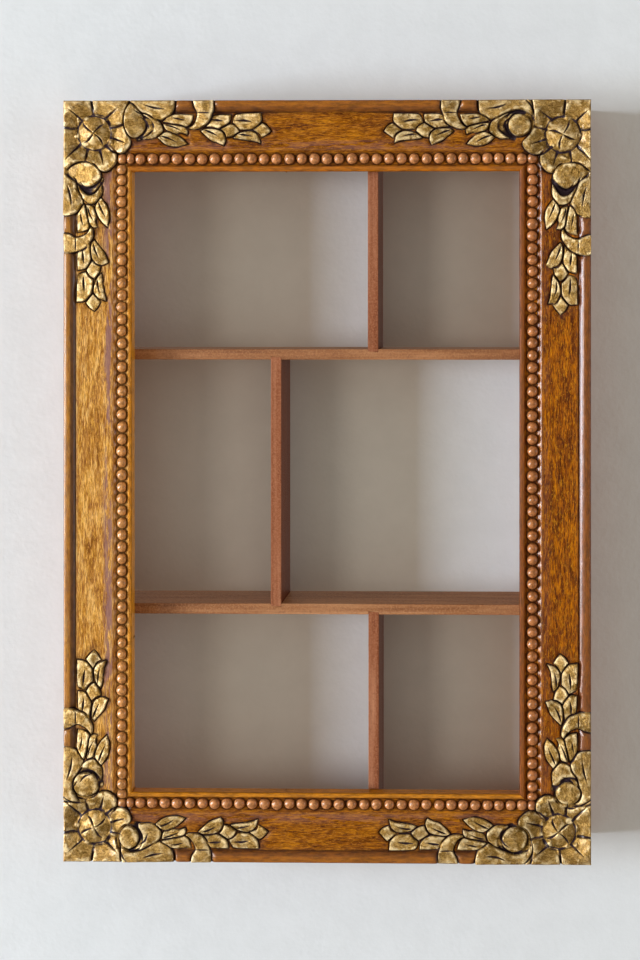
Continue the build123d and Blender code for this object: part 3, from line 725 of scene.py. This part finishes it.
class Shader:
    """Material with a Principled shader and short calls for the nodes before it. grain is x or z."""

    def __init__(self, name, grain="x"):
        self.grain = grain
        self.material = bpy.data.materials.new(name)
        self.material.use_nodes = True
        self.tree = self.material.node_tree
        self.surface = self.tree.nodes["Principled BSDF"]
        self.place = self.node("ShaderNodeTexCoord").outputs["Object"]

    def node(self, kind, inputs=None, **settings):
        """New node, with the value or link of each input by the socket's name or number."""
        made = self.tree.nodes.new(kind)
        for name, value in settings.items():
            setattr(made, name, value)
        for name, value in (inputs or {}).items():
            self.put(made.inputs[name], value)
        return made

    def put(self, socket, value):
        if isinstance(value, bpy.types.NodeSocket):
            self.tree.links.new(value, socket)
        else:
            socket.default_value = value

    def noise(self, along, across, detail, roughness, distortion=0.0):
        """Noise over the place in metres, with its scale along the grain and across it."""
        scale = [along if axis == self.grain else across for axis in "xyz"]
        place = self.node("ShaderNodeMapping", {"Vector": self.place, "Scale": scale}).outputs["Vector"]
        return self.node("ShaderNodeTexNoise", {
            "Vector": place, "Scale": 1.0, "Detail": detail, "Roughness": roughness,
            "Distortion": distortion}).outputs["Fac"]

    def mask(self, name):
        return self.node("ShaderNodeAttribute", attribute_name=name).outputs["Fac"]

    def maths(self, operation, a, b):
        return self.node("ShaderNodeMath", {0: a, 1: b}, operation=operation).outputs[0]

    def times(self, a, b):
        return self.maths("MULTIPLY", a, b)

    def plus(self, a, b):
        return self.maths("ADD", a, b)

    def minus(self, a, b):
        return self.maths("SUBTRACT", a, b)

    def between(self, value, low, high):
        """0 where the value is low and 1 where it is high, smooth between them."""
        inputs = {"Value": value, "From Min": low, "From Max": high}
        return self.node("ShaderNodeMapRange", inputs, interpolation_type="SMOOTHSTEP").outputs["Result"]

    def ramp(self, value, stops):
        made = self.node("ShaderNodeValToRGB", {"Fac": value})
        ramp = made.color_ramp
        ramp.elements.remove(ramp.elements[1])
        ramp.elements[0].position, ramp.elements[0].color = stops[0]
        for position, colour in stops[1:]:
            ramp.elements.new(position).color = colour
        return made.outputs["Color"]

    def mix(self, share, a, b):
        return self.node("ShaderNodeMix", {0: share, 6: a, 7: b}, data_type="RGBA").outputs[2]

    def over(self, colour, mask, share, upper):
        """The colour with another one over it, where the mask is and as far as the share says."""
        return self.mix(self.times(mask, share), colour, upper)

    def bump(self, height, strength, distance):
        made = self.node("ShaderNodeBump", {"Height": height, "Strength": strength, "Distance": distance})
        self.put(self.surface.inputs["Normal"], made.outputs["Normal"])

    def finish(self, **inputs):
        for name, value in inputs.items():
            self.put(self.surface.inputs[name.replace("_", " ")], value)
        return self.material


GOLD_TONES = [(0.38, rgb(76, 56, 18)), (0.48, rgb(124, 92, 38)), (0.60, rgb(186, 150, 86))]
# painted highlight and wear on the gilding's ridges
GOLD_HIGHLIGHT_AND_WEAR = rgb(244, 220, 168)
BARE_GOLD = rgb(88, 50, 24)  # where the gilding is rubbed through
# painted shade and antique dark in the gilding's cuts and hollows
GOLD_CUT = rgb(50, 36, 42)
GOLD_METAL = 0.42
SHEEN_AND_WORN_VARNISH = rgb(140, 98, 94)  # painted sheen and worn varnish
# painted highlight and wear on the wood's ridges
RIDGE_HIGHLIGHT_AND_WEAR = rgb(206, 146, 92)
# dirt and painted shade beside the carved forms
DIRT_AND_SHADE_DARK = rgb(70, 40, 36)
# painted shade in the groove beside the rim
GROOVE_DARK = rgb(48, 24, 14)
# painted shade and antique dark in the wood's hollows
RECESS_DARK = rgb(52, 26, 14)
# painted shade and dark ground paint round the feet of the carved forms
OUTLINE_DARK = rgb(42, 26, 26)
PORE = rgb(66, 38, 22)


def stained(s, tones, streaks, pores, nicks):
    """Colour of the stained wood with the bands of the moulding."""
    patches = s.noise(30, 160, 5, 0.7, 0.6)
    tone = s.plus(s.times(streaks, 0.62), s.times(patches, 0.38))
    wood = s.ramp(tone, [(0.40, tones["dark"]), (0.49, tones["middle"]), (0.58, tones["light"])])
    flecks = s.between(s.noise(300, 1000, 4, 0.7, 0.5), 0.53, 0.62)
    for mask, share, tone in ((flecks, 0.5, "fleck"), (pores, 0.75, "pore"), (nicks, 0.6, "pore")):
        wood = s.over(wood, mask, share, tones[tone])
    shade = s.between(s.noise(120, 520, 5, 0.7), 0.36, 0.62)
    for part, share in (("rim", 0.75), ("fall", 0.8), ("lip", 0.85)):
        wood = s.over(wood, s.mask(part), share, s.mix(shade, darker(tones[part]), tones[part]))
    return wood


def aged(s, sheen_and_wear, groove_shade, bead_tone, mottle, wood):
    """The wood with its worn patches and painted sheen, the beads' tone, painted highlight on its ridges, and
    dirt, antique dark and painted shade in and beside its hollows.
    """
    # patches of painted sheen and worn varnish, strongest in the band beside the channel
    worn = s.between(s.noise(30, 210, 6, 0.75), 0.44, 0.54)
    wood = s.over(wood, s.times(worn, s.plus(s.times(s.mask("worn"), 0.85), 0.10)), sheen_and_wear, SHEEN_AND_WORN_VARNISH)
    bead = s.mix(s.between(mottle, 0.36, 0.62), darker(bead_tone), bead_tone)
    # patchy dirt and painted shade beside the carved forms
    dirt_and_shade_patches = s.times(s.mask("dirt_and_shade"), s.between(s.noise(150, 150, 5, 0.7), 0.40, 0.62))
    for mask, share, colour in (
        (s.mask("bead"), 0.9, bead), (s.mask("ridge"), 0.12, RIDGE_HIGHLIGHT_AND_WEAR), (dirt_and_shade_patches, 0.75, DIRT_AND_SHADE_DARK),
        # painted shade in the groove, and painted shade with antique dark in the hollows
        (s.mask("groove_shade"), groove_shade, GROOVE_DARK), (s.mask("recess"), 0.8, RECESS_DARK),
        # painted shade and dark ground paint round the forms' feet
        (s.mask("outline"), 0.85, OUTLINE_DARK),
    ):
        wood = s.over(wood, mask, share, colour)
    return wood


def gilded(s, brush):
    """Colour of the gilding, bright on the ridges with painted highlight and wear, rubbed through in spots,
    and dark in the cuts with painted shade over antique dark.
    """
    blotch = s.noise(120, 120, 6, 0.72, 0.6)
    gold = s.ramp(s.plus(s.times(blotch, 0.4), s.times(brush, 0.6)), GOLD_TONES)
    # patchy painted highlight, with wear, on the gilding's ridges
    highlight_and_wear = s.times(s.mask("ridge"), s.between(s.noise(210, 210, 4, 0.6), 0.42, 0.60))
    gold = s.over(gold, highlight_and_wear, 0.6, GOLD_HIGHLIGHT_AND_WEAR)
    rubbed = s.between(s.noise(640, 640, 4, 0.75), 0.54, 0.62)
    gold = s.over(gold, rubbed, 0.45, BARE_GOLD)
    ragged = s.times(s.minus(s.noise(330, 330, 4, 0.7), 0.5), 1.8)
    # the recess mask, made ragged, paints shade and antique dark into the gilding
    gap = s.plus(s.mask("recess"), s.times(ragged, s.mask("recess")))
    return s.mix(s.between(gap, 0.16, 0.62), gold, GOLD_CUT)


def carved_wood(name, axis, sheen_and_wear, groove_shade, tones):
    """Stained, gilded wood of a frame member. The two strengths after the grain are those of its patches of
    painted sheen and worn varnish, and of the painted shade in the groove beside its rim."""
    s = Shader(name, axis)
    streaks = s.noise(130, 1100, 6, 0.72, 0.3)
    mottle = s.noise(420, 420, 4, 0.65)
    pores = s.between(s.noise(190, 2400, 3, 0.6), 0.52, 0.62)
    nicks = s.between(s.noise(90, 300, 5, 0.7, 0.8), 0.61, 0.66)
    brush = s.noise(520, 1100, 5, 0.75, 1.0)
    wood = stained(s, tones, streaks, pores, nicks)
    wood = aged(s, sheen_and_wear, groove_shade, tones["bead"], mottle, wood)
    leaf, cuts = s.mask("gilt"), s.between(s.mask("recess"), 0.1, 0.5)
    metal = s.times(s.times(leaf, GOLD_METAL), s.minus(1.0, cuts))
    rough = s.plus(s.plus(0.34, s.times(brush, 0.24)), s.times(cuts, 0.2))
    surface = s.plus(s.times(streaks, 0.7), s.times(mottle, 0.5))
    surface = s.minus(surface, s.times(s.maths("MAXIMUM", pores, nicks), 0.4))
    s.bump(s.times(surface, s.minus(1.0, s.times(s.mask("bead"), 0.7))), 0.6, 0.0007)
    gloss = s.plus(0.05, s.times(s.mask("gloss"), 0.45))
    return s.finish(Base_Color=s.mix(leaf, wood, gilded(s, brush)), Metallic=metal, Roughness=rough,
                    Specular_IOR_Level=0.03, Coat_Weight=gloss, Coat_Roughness=0.2)


def plain_wood(name, axis, dark, middle, light, shine=0.12, front=None):
    """Stained board with straight grain. Behind the plane y = front, if one is given, it is painted dark as
    shade.
    """
    s = Shader(name, axis)
    streaks = s.noise(7, 260, 6, 0.6, 0.4)
    fine = s.noise(42, 1700, 3, 0.6)
    patches = s.noise(12, 60, 4, 0.6)
    tone = s.plus(s.times(streaks, 0.6), s.times(patches, 0.4))
    wood = s.ramp(tone, [(0.30, dark), (0.5, middle), (0.7, light)])
    pores = s.between(fine, 0.58, 0.72)
    rubbed = s.between(s.noise(700, 700, 5, 0.75), 0.46, 0.60)
    spots = s.between(s.noise(300, 300, 5, 0.75), 0.52, 0.62)
    for mask, share, colour in ((pores, 0.5, PORE), (rubbed, 0.5, light), (spots, 0.35, dark)):
        wood = s.over(wood, mask, share, colour)
    # the sides behind the front face get painted shade
    if front is not None:
        depth = s.node("ShaderNodeSeparateXYZ", {0: s.place}).outputs["Y"]
        inner = s.between(depth, front + 0.2 * MM, front + 1.2 * MM)
        wood = s.over(wood, inner, 0.9, s.mix(streaks, darker(dark, 0.6), dark))
    s.bump(s.minus(s.plus(streaks, s.times(rubbed, 0.5)), pores), 0.45, 0.0003)
    return s.finish(Base_Color=wood, Roughness=s.plus(0.42, s.times(fine, 0.2)), Specular_IOR_Level=shine,
                    Coat_Weight=0.04, Coat_Roughness=0.25)


def metal(name, colour, rough):
    """Plated steel with fine scratches."""
    s = Shader(name, "z")
    scratches = s.noise(120, 900, 4, 0.6)
    clouds = s.noise(160, 160, 3, 0.6)
    shade = s.mix(s.between(clouds, 0.35, 0.7), colour, rgb(150, 148, 142))
    s.bump(scratches, 0.2, 0.0001)
    return s.finish(Base_Color=shade, Metallic=0.9, Roughness=s.plus(rough, s.times(scratches, 0.25)))


# Carved frame
# The fall tones paint shade on the rim's inner slope, darkest on the left stile
RAIL_TONES = {
    "dark": rgb(88, 38, 0), "middle": rgb(150, 84, 2), "light": rgb(196, 122, 14),
    "fleck": rgb(214, 140, 40), "pore": rgb(74, 28, 0), "rim": rgb(172, 98, 12),
    "fall": rgb(128, 70, 14), "lip": rgb(196, 110, 4), "bead": rgb(214, 140, 84)}
# The bottom rail's lip is painted lighter, as the light that falls on its upward face
BOTTOM_TONES = RAIL_TONES | {"lip": rgb(226, 142, 20)}
LEFT_TONES = {
    "dark": rgb(128, 74, 10), "middle": rgb(204, 138, 46), "light": rgb(248, 194, 108),
    "fleck": rgb(250, 190, 80), "pore": rgb(124, 64, 14), "rim": rgb(176, 108, 0),
    "fall": rgb(92, 58, 26), "lip": rgb(238, 152, 16), "bead": rgb(220, 148, 82)}
RIGHT_TONES = {
    "dark": rgb(78, 30, 0), "middle": rgb(134, 66, 0), "light": rgb(196, 112, 0),
    "fleck": rgb(222, 148, 20), "pore": rgb(62, 22, 0), "rim": rgb(134, 72, 26),
    "fall": rgb(140, 74, 26), "lip": rgb(128, 58, 0), "bead": rgb(196, 120, 66)}
for node, way, seed, worn, sheen_and_wear, groove_shade, tones in (
    ("top_rail", 1, 21, 0.75, 0.35, 0.85, RAIL_TONES), ("bottom_rail", -1, 22, 0, 0.35, 0.5, BOTTOM_TONES),
    ("left_stile", -1, 23, 0, 0.9, 0.5, LEFT_TONES), ("right_stile", 1, 24, 0, 0.1, 0.1, RIGHT_TONES),
):
    name, kind = node.split("_")
    material = carved_wood(f"{name}_wood", "x" if kind == "rail" else "z", sheen_and_wear, groove_shade, tones)
    for piece in carved_member(node, way, seed, worn):
        piece.data.materials.append(material)
        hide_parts(node)
        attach(piece, "root")


# Boards, shelves and dividers, with their edges eased
def eased(node, width, material):
    """Copy of a node with its sharp edges rounded, which stands for the node."""
    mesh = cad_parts[node].data.copy()
    mesh.materials.clear()
    mesh.materials.append(material)
    made = bmesh.new()
    made.from_mesh(mesh)
    bmesh.ops.remove_doubles(made, verts=made.verts, dist=0.000002)
    bmesh.ops.dissolve_limit(made, angle_limit=0.02, verts=made.verts, edges=made.edges)
    edges = [e for e in made.edges if e.calc_length() > 4 * MM and e.calc_face_angle(0) > 0.5]
    bmesh.ops.bevel(made, geom=edges, offset=width, segments=2, profile=0.5, affect="EDGES",
                    clamp_overlap=True)
    bmesh.ops.recalc_face_normals(made, faces=made.faces)
    made.to_mesh(mesh)
    made.free()
    piece = new_object(f"{node}_wood", mesh)
    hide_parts(node)
    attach(piece, "root")


BOX_TONES = (rgb(104, 50, 20), rgb(154, 84, 38), rgb(186, 112, 58))
SHELF_TONES = (rgb(102, 54, 26), rgb(154, 98, 56), rgb(196, 140, 94))
DIVIDER_TONES = (rgb(108, 48, 18), rgb(150, 88, 56), rgb(192, 132, 96))
BOX_EASE, SHELF_EASE = 0.0006, 0.0004
divider_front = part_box("upper_divider")[0].y
divider_wood = plain_wood("divider_wood", "z", *DIVIDER_TONES, 0.03, divider_front)
for nodes, width, material, slot in (
    (("left_side", "right_side"), BOX_EASE, plain_wood("side_wood", "z", *BOX_TONES), "box_wood"),
    (("top_board", "bottom_board"), BOX_EASE, plain_wood("board_wood", "x", *BOX_TONES), "box_wood"),
    (("upper_shelf", "lower_shelf"), SHELF_EASE, plain_wood("shelf_wood", "x", *SHELF_TONES), "shelf_wood"),
    (("upper_divider", "middle_divider", "lower_divider"), SHELF_EASE, divider_wood, "shelf_wood"),
):
    for node in nodes:
        eased(node, width, material)


# Screws of the hangers: countersunk, with a cross recess
SHANK = 1.4  # radius
HEAD_CROWN = 0.1  # rise of the head's middle
HEAD_EDGE = 0.15  # height of the head's upright edge
CROSS_ARM = 1.7  # half of the recess's length
CROSS_WIDTH = 0.34  # half of its width
CROSS_DEPTH = 0.8
CROSS_WALL = (0.8, 1.1)  # shares of its outline where it goes down
THREAD = 0.16
THREAD_PITCH = 1.25
SCREW_SIDES, HEAD_RINGS, THREAD_RINGS = 48, 12, 48


def screw_rings(radius, length):
    """Rings of points from the head's middle to the end, as (u, depth, v) in millimetres."""
    turn = np.linspace(0, 2 * math.pi, SCREW_SIDES, endpoint=False)
    rings = []
    for share in np.linspace(1 / HEAD_RINGS, 1, HEAD_RINGS):
        u, v = radius * share * np.cos(turn), radius * share * np.sin(turn)
        from_arms = np.minimum(np.maximum(np.abs(u) / CROSS_ARM, np.abs(v) / CROSS_WIDTH),
                               np.maximum(np.abs(v) / CROSS_ARM, np.abs(u) / CROSS_WIDTH))
        cross = CROSS_DEPTH * (1 - step(from_arms, *CROSS_WALL)) * (1 - share)
        rings.append((u, HEAD_CROWN * share ** 2 + cross, v))
    neck = radius - SHANK
    outline = [(radius, HEAD_CROWN + HEAD_EDGE), (SHANK, neck + HEAD_EDGE)]
    for place in np.linspace(0.05, 0.95, THREAD_RINGS) * (length - neck):
        outline.append((SHANK - THREAD * math.sin(2 * math.pi * place / THREAD_PITCH) ** 2, neck + place))
    outline.append((SHANK / 2, length))
    return rings + [(width * np.cos(turn), np.full(turn.shape, depth), width * np.sin(turn))
                    for width, depth in outline]


def screw(name, middle, radius, back, tip):
    """Screw along y from its head at back to its end at tip, in metres."""
    rings = [(middle[0] + u * MM, back - depth * MM, middle[1] + v * MM)
             for u, depth, v in screw_rings(radius / MM, (back - tip) / MM)]
    points = [(middle[0], rings[0][1][0], middle[1])]
    for ring in rings:
        points += list(zip(*ring))
    points.append((middle[0], tip, middle[1]))
    faces = []
    last = 1 + (len(rings) - 1) * SCREW_SIDES
    for k in range(SCREW_SIDES):
        j = (k + 1) % SCREW_SIDES
        faces.append((0, 1 + k, 1 + j))
        for one in range(1, last, SCREW_SIDES):
            two = one + SCREW_SIDES
            faces.append((one + k, two + k, two + j, one + j))
        faces.append((last + j, last + k, len(points) - 1))
    mesh = bpy.data.meshes.new(name)
    mesh.from_pydata(points, [], faces)
    face_outwards(mesh)
    return new_object(name, mesh)


# Metal fittings. The screws are made anew in their places, and the others keep their own shapes.
zinc = metal("zinc", rgb(186, 186, 180), 0.3)
pin_steel = metal("pin_steel", rgb(96, 84, 74), 0.4)
old_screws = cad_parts["hanger_screws"].data
corners = np.zeros(3 * len(old_screws.vertices))
old_screws.vertices.foreach_get("co", corners)
corners = corners.reshape(-1, 3)
for side, way in (("left", -1), ("right", 1)):
    here = corners[np.sign(corners[:, 0]) == way]
    halfway = (here[:, 2].min() + here[:, 2].max()) / 2
    for level, above in (("lower", False), ("upper", True)):
        one = here[(here[:, 2] > halfway) == above]
        low, high = one.min(0), one.max(0)
        middle, radius = (low[[0, 2]] + high[[0, 2]]) / 2, (high[2] - low[2]) / 2
        piece = screw(f"{side}_{level}_screw", middle, radius, high[1], low[1])
        piece.data.materials.append(zinc)
        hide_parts("hanger_screws")
        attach(piece, "root")
for node, material in (
    ("left_hanger_plate", zinc), ("right_hanger_plate", zinc), ("box_pins", pin_steel),
    ("shelf_pins", pin_steel), ("frame_pins", pin_steel), ("mitre_pins", pin_steel),
):
    for material_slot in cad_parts[node].material_slots:
        material_slot.material = material


# Stage: a pale wall behind the shelf, seen only from its front, and a pale floor
def pale(name, colour, see_through, roughness):
    """Matt paint. A see-through one is clear from behind."""
    s = Shader(name)
    plaster = s.noise(38, 38, 4, 0.6)
    grit = s.noise(260, 260, 3, 0.55)
    shade = s.mix(s.between(plaster, 0.3, 0.7), colour, rgb(226, 227, 224))
    s.bump(s.plus(plaster, s.times(grit, 0.35)), roughness, 0.002)
    material = s.finish(Base_Color=shade, Roughness=0.9, Specular_IOR_Level=0.0)
    if see_through:
        behind = s.node("ShaderNodeNewGeometry").outputs["Backfacing"]
        clear = s.node("ShaderNodeBsdfTransparent").outputs[0]
        both = s.node("ShaderNodeMixShader", {0: behind, 1: s.surface.outputs[0], 2: clear})
        s.put(s.tree.nodes["Material Output"].inputs["Surface"], both.outputs[0])
    return material


def flat(name, corners, material):
    """Backdrop through its corners that no light ray meets, and only the camera sees."""
    mesh = bpy.data.meshes.new(name)
    mesh.from_pydata(corners, [], [list(range(len(corners)))])
    mesh.materials.append(material)
    made = new_object(name, mesh)
    made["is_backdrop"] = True
    for ray in ("visible_diffuse", "visible_glossy", "visible_transmission", "visible_shadow"):
        setattr(made, ray, False)
    return made


WALL_GAP = 0.001
WALL_REACH = 0.75
WALL_HEIGHT = 2.1
FLOOR_REACH = 4.0
FLOOR_Z = CENTRE_Z - 1.1
wall_y = cad_high.y + WALL_GAP
SQUARE = ((-1, 0), (1, 0), (1, 1), (-1, 1))
flat("wall", [(x * WALL_REACH, wall_y, FLOOR_Z + z * WALL_HEIGHT) for x, z in SQUARE],
     pale("wall_paint", rgb(222, 223, 220), True, 0.25))
floor = flat("floor", [(x * FLOOR_REACH, (2 * y - 1) * FLOOR_REACH, FLOOR_Z) for x, y in SQUARE],
             pale("floor_paint", rgb(220, 220, 217), False, 0.02))

DAYLIGHT = (0.755, 0.865, 1.03)
ROOMLIGHT = (1.0, 0.86, 0.72)
GLEAM = (1.0, 0.96, 0.93)
FLOORLIGHT = (0.96, 0.98, 1.0)


def lamp(name, colour, angle_left, angle_up, distance, size, power):
    """Area light that faces the shelf, from so many degrees to the left and above its front."""
    data = bpy.data.lights.new(name, "AREA")
    data.shape, data.energy, data.color = "RECTANGLE", power, colour
    data.size, data.size_y = size
    left, up = math.radians(angle_left), math.radians(angle_up)
    way = Vector((-math.sin(left) * math.cos(up), -math.cos(left) * math.cos(up), math.sin(up)))
    made = new_object(name, data)
    made.location = Vector((0, 0, CENTRE_Z)) + way * distance
    made.rotation_euler = (-way).to_track_quat("-Z", "Y").to_euler()
    return made


near_window = lamp("near_window", ROOMLIGHT, 36, 0, 5.0, (1.2, 1.5), 28)
far_window = lamp("far_window", DAYLIGHT, 66, 0, 6.0, (1.6, 1.7), 530)
bounce = lamp("bounce", DAYLIGHT, -76, 0, 5.0, (2.1, 2.1), 80)
lamp("gleam", GLEAM, 48, 8, 4.0, (1.0, 1.6), 225).visible_diffuse = False
lamp("side_gleam", GLEAM, 80, -14, 4.0, (1.6, 1.8), 260).visible_diffuse = False

# The floor has its own lamp, because the others would light it unevenly and far more than the wall
floor_lamp = lamp("floor_lamp", FLOORLIGHT, 0, 90, 2.6, (5.0, 5.0), 118)
for light, state in (
    (near_window, "EXCLUDE"), (far_window, "EXCLUDE"), (bounce, "EXCLUDE"), (floor_lamp, "INCLUDE"),
):
    lit = bpy.data.collections.new(f"{light.name}_floor")
    lit.objects.link(floor)
    lit.collection_objects[0].light_linking.link_state = state
    light.light_linking.receiver_collection = lit

world = bpy.data.worlds.new("studio")
bpy.context.scene.world = world
world.use_nodes = True
nodes, links = world.node_tree.nodes, world.node_tree.links
background = nodes["Background"]
background.inputs["Color"].default_value = (1.0, 0.91, 0.77, 1)
background.inputs["Strength"].default_value = 0.41
seen = nodes.new("ShaderNodeBackground")
seen.inputs["Color"].default_value = rgb(226, 227, 225)
rays = nodes.new("ShaderNodeLightPath")
choose = nodes.new("ShaderNodeMixShader")
links.new(rays.outputs["Is Camera Ray"], choose.inputs[0])
links.new(background.outputs[0], choose.inputs[1])
links.new(seen.outputs[0], choose.inputs[2])
links.new(choose.outputs[0], nodes["World Output"].inputs["Surface"])

# Camera
camera_data = bpy.data.cameras.new("camera")
camera_data.sensor_width = 36
camera_data.lens = 67.10
camera_data.shift_x = -0.1440
camera_data.shift_y = -0.1924
camera = new_object("camera", camera_data)
camera.location = (0.130, cad_low.y - 1.35, CENTRE_Z + 0.141)
camera.rotation_euler = (math.radians(90), 0, math.radians(1.28))
bpy.context.scene.camera = camera
bpy.context.scene.view_settings.view_transform = "Standard"

low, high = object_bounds()
